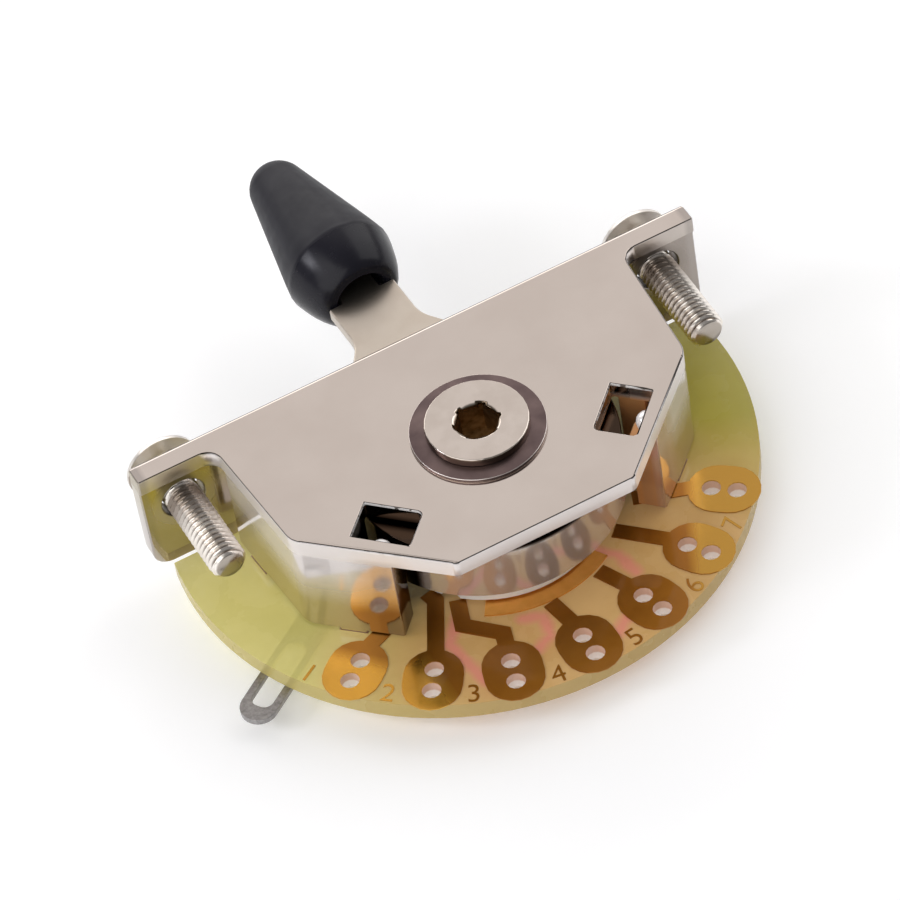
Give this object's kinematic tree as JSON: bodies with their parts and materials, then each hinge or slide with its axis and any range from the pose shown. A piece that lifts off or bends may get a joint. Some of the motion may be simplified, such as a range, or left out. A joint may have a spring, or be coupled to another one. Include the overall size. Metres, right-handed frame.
{
  "type": "guitar pickup selector switch",
  "caption": "Lever selector switch for a guitar: folded plate with two mounting ears, turning lever with a tapered tip, round printed board with solder pads.",
  "frame": {"origin": "pivot axis of the lever, on the surface that the switch rests on with its board side down", "axes": "+Z along the pivot from the board to the plate, +X along the ears to the right, +Y from the pivot to the middle of the lever's sweep, which is the lever's tip side"},
  "size_m": [0.0486, 0.0532, 0.0152],
  "materials": {
    "nickel_steel": "bright nickel plate",
    "bright_steel": "bright zinc plate",
    "heat_coloured_steel": "heat coloured purple-brown",
    "natural_nylon": "natural",
    "black_plastic": "satin",
    "white_plastic": "satin",
    "bronze": "rolled",
    "fibre_board": "translucent glass fibre laminate",
    "copper_foil": "lacquered foil",
    "tinned_steel": "dull tin",
    "nut_brass": "turned"
  },
  "bodies": {
    "housing": {"bracket": "nickel_steel", "mounting_screw_left": "bright_steel", "mounting_screw_right": "bright_steel", "pivot_screw": "nickel_steel", "spring_washer": "heat_coloured_steel", "slip_washer": "natural_nylon", "detent_ball_left": "bright_steel", "detent_ball_right": "bright_steel", "detent_spring_left": "bronze", "detent_spring_right": "bronze", "circuit_board": "fibre_board", "solder_pad_1": "copper_foil", "solder_pad_2": "copper_foil", "solder_pad_3": "copper_foil", "solder_pad_4": "copper_foil", "solder_pad_5": "copper_foil", "solder_pad_6": "copper_foil", "solder_pad_7": "copper_foil", "outer_track": "copper_foil", "common_ring": "copper_foil", "ground_lug": "tinned_steel", "lug_rivet": "tinned_steel", "lock_washer": "bright_steel", "pivot_nut": "nut_brass"},
    "lever": {"lever": "nickel_steel", "lever_knob": "black_plastic", "contact_carrier": "white_plastic", "contact_wiper_1": "bronze", "contact_wiper_2": "bronze", "contact_wiper_3": "bronze"}
  },
  "joints": [
    {"name": "lever_pivot", "type": "hinge", "parent": "housing", "child": "lever", "pos_m": [0, 0, 0.0107], "axis": [0, 0, 1], "range_deg": [-28, 28]}
  ]
}
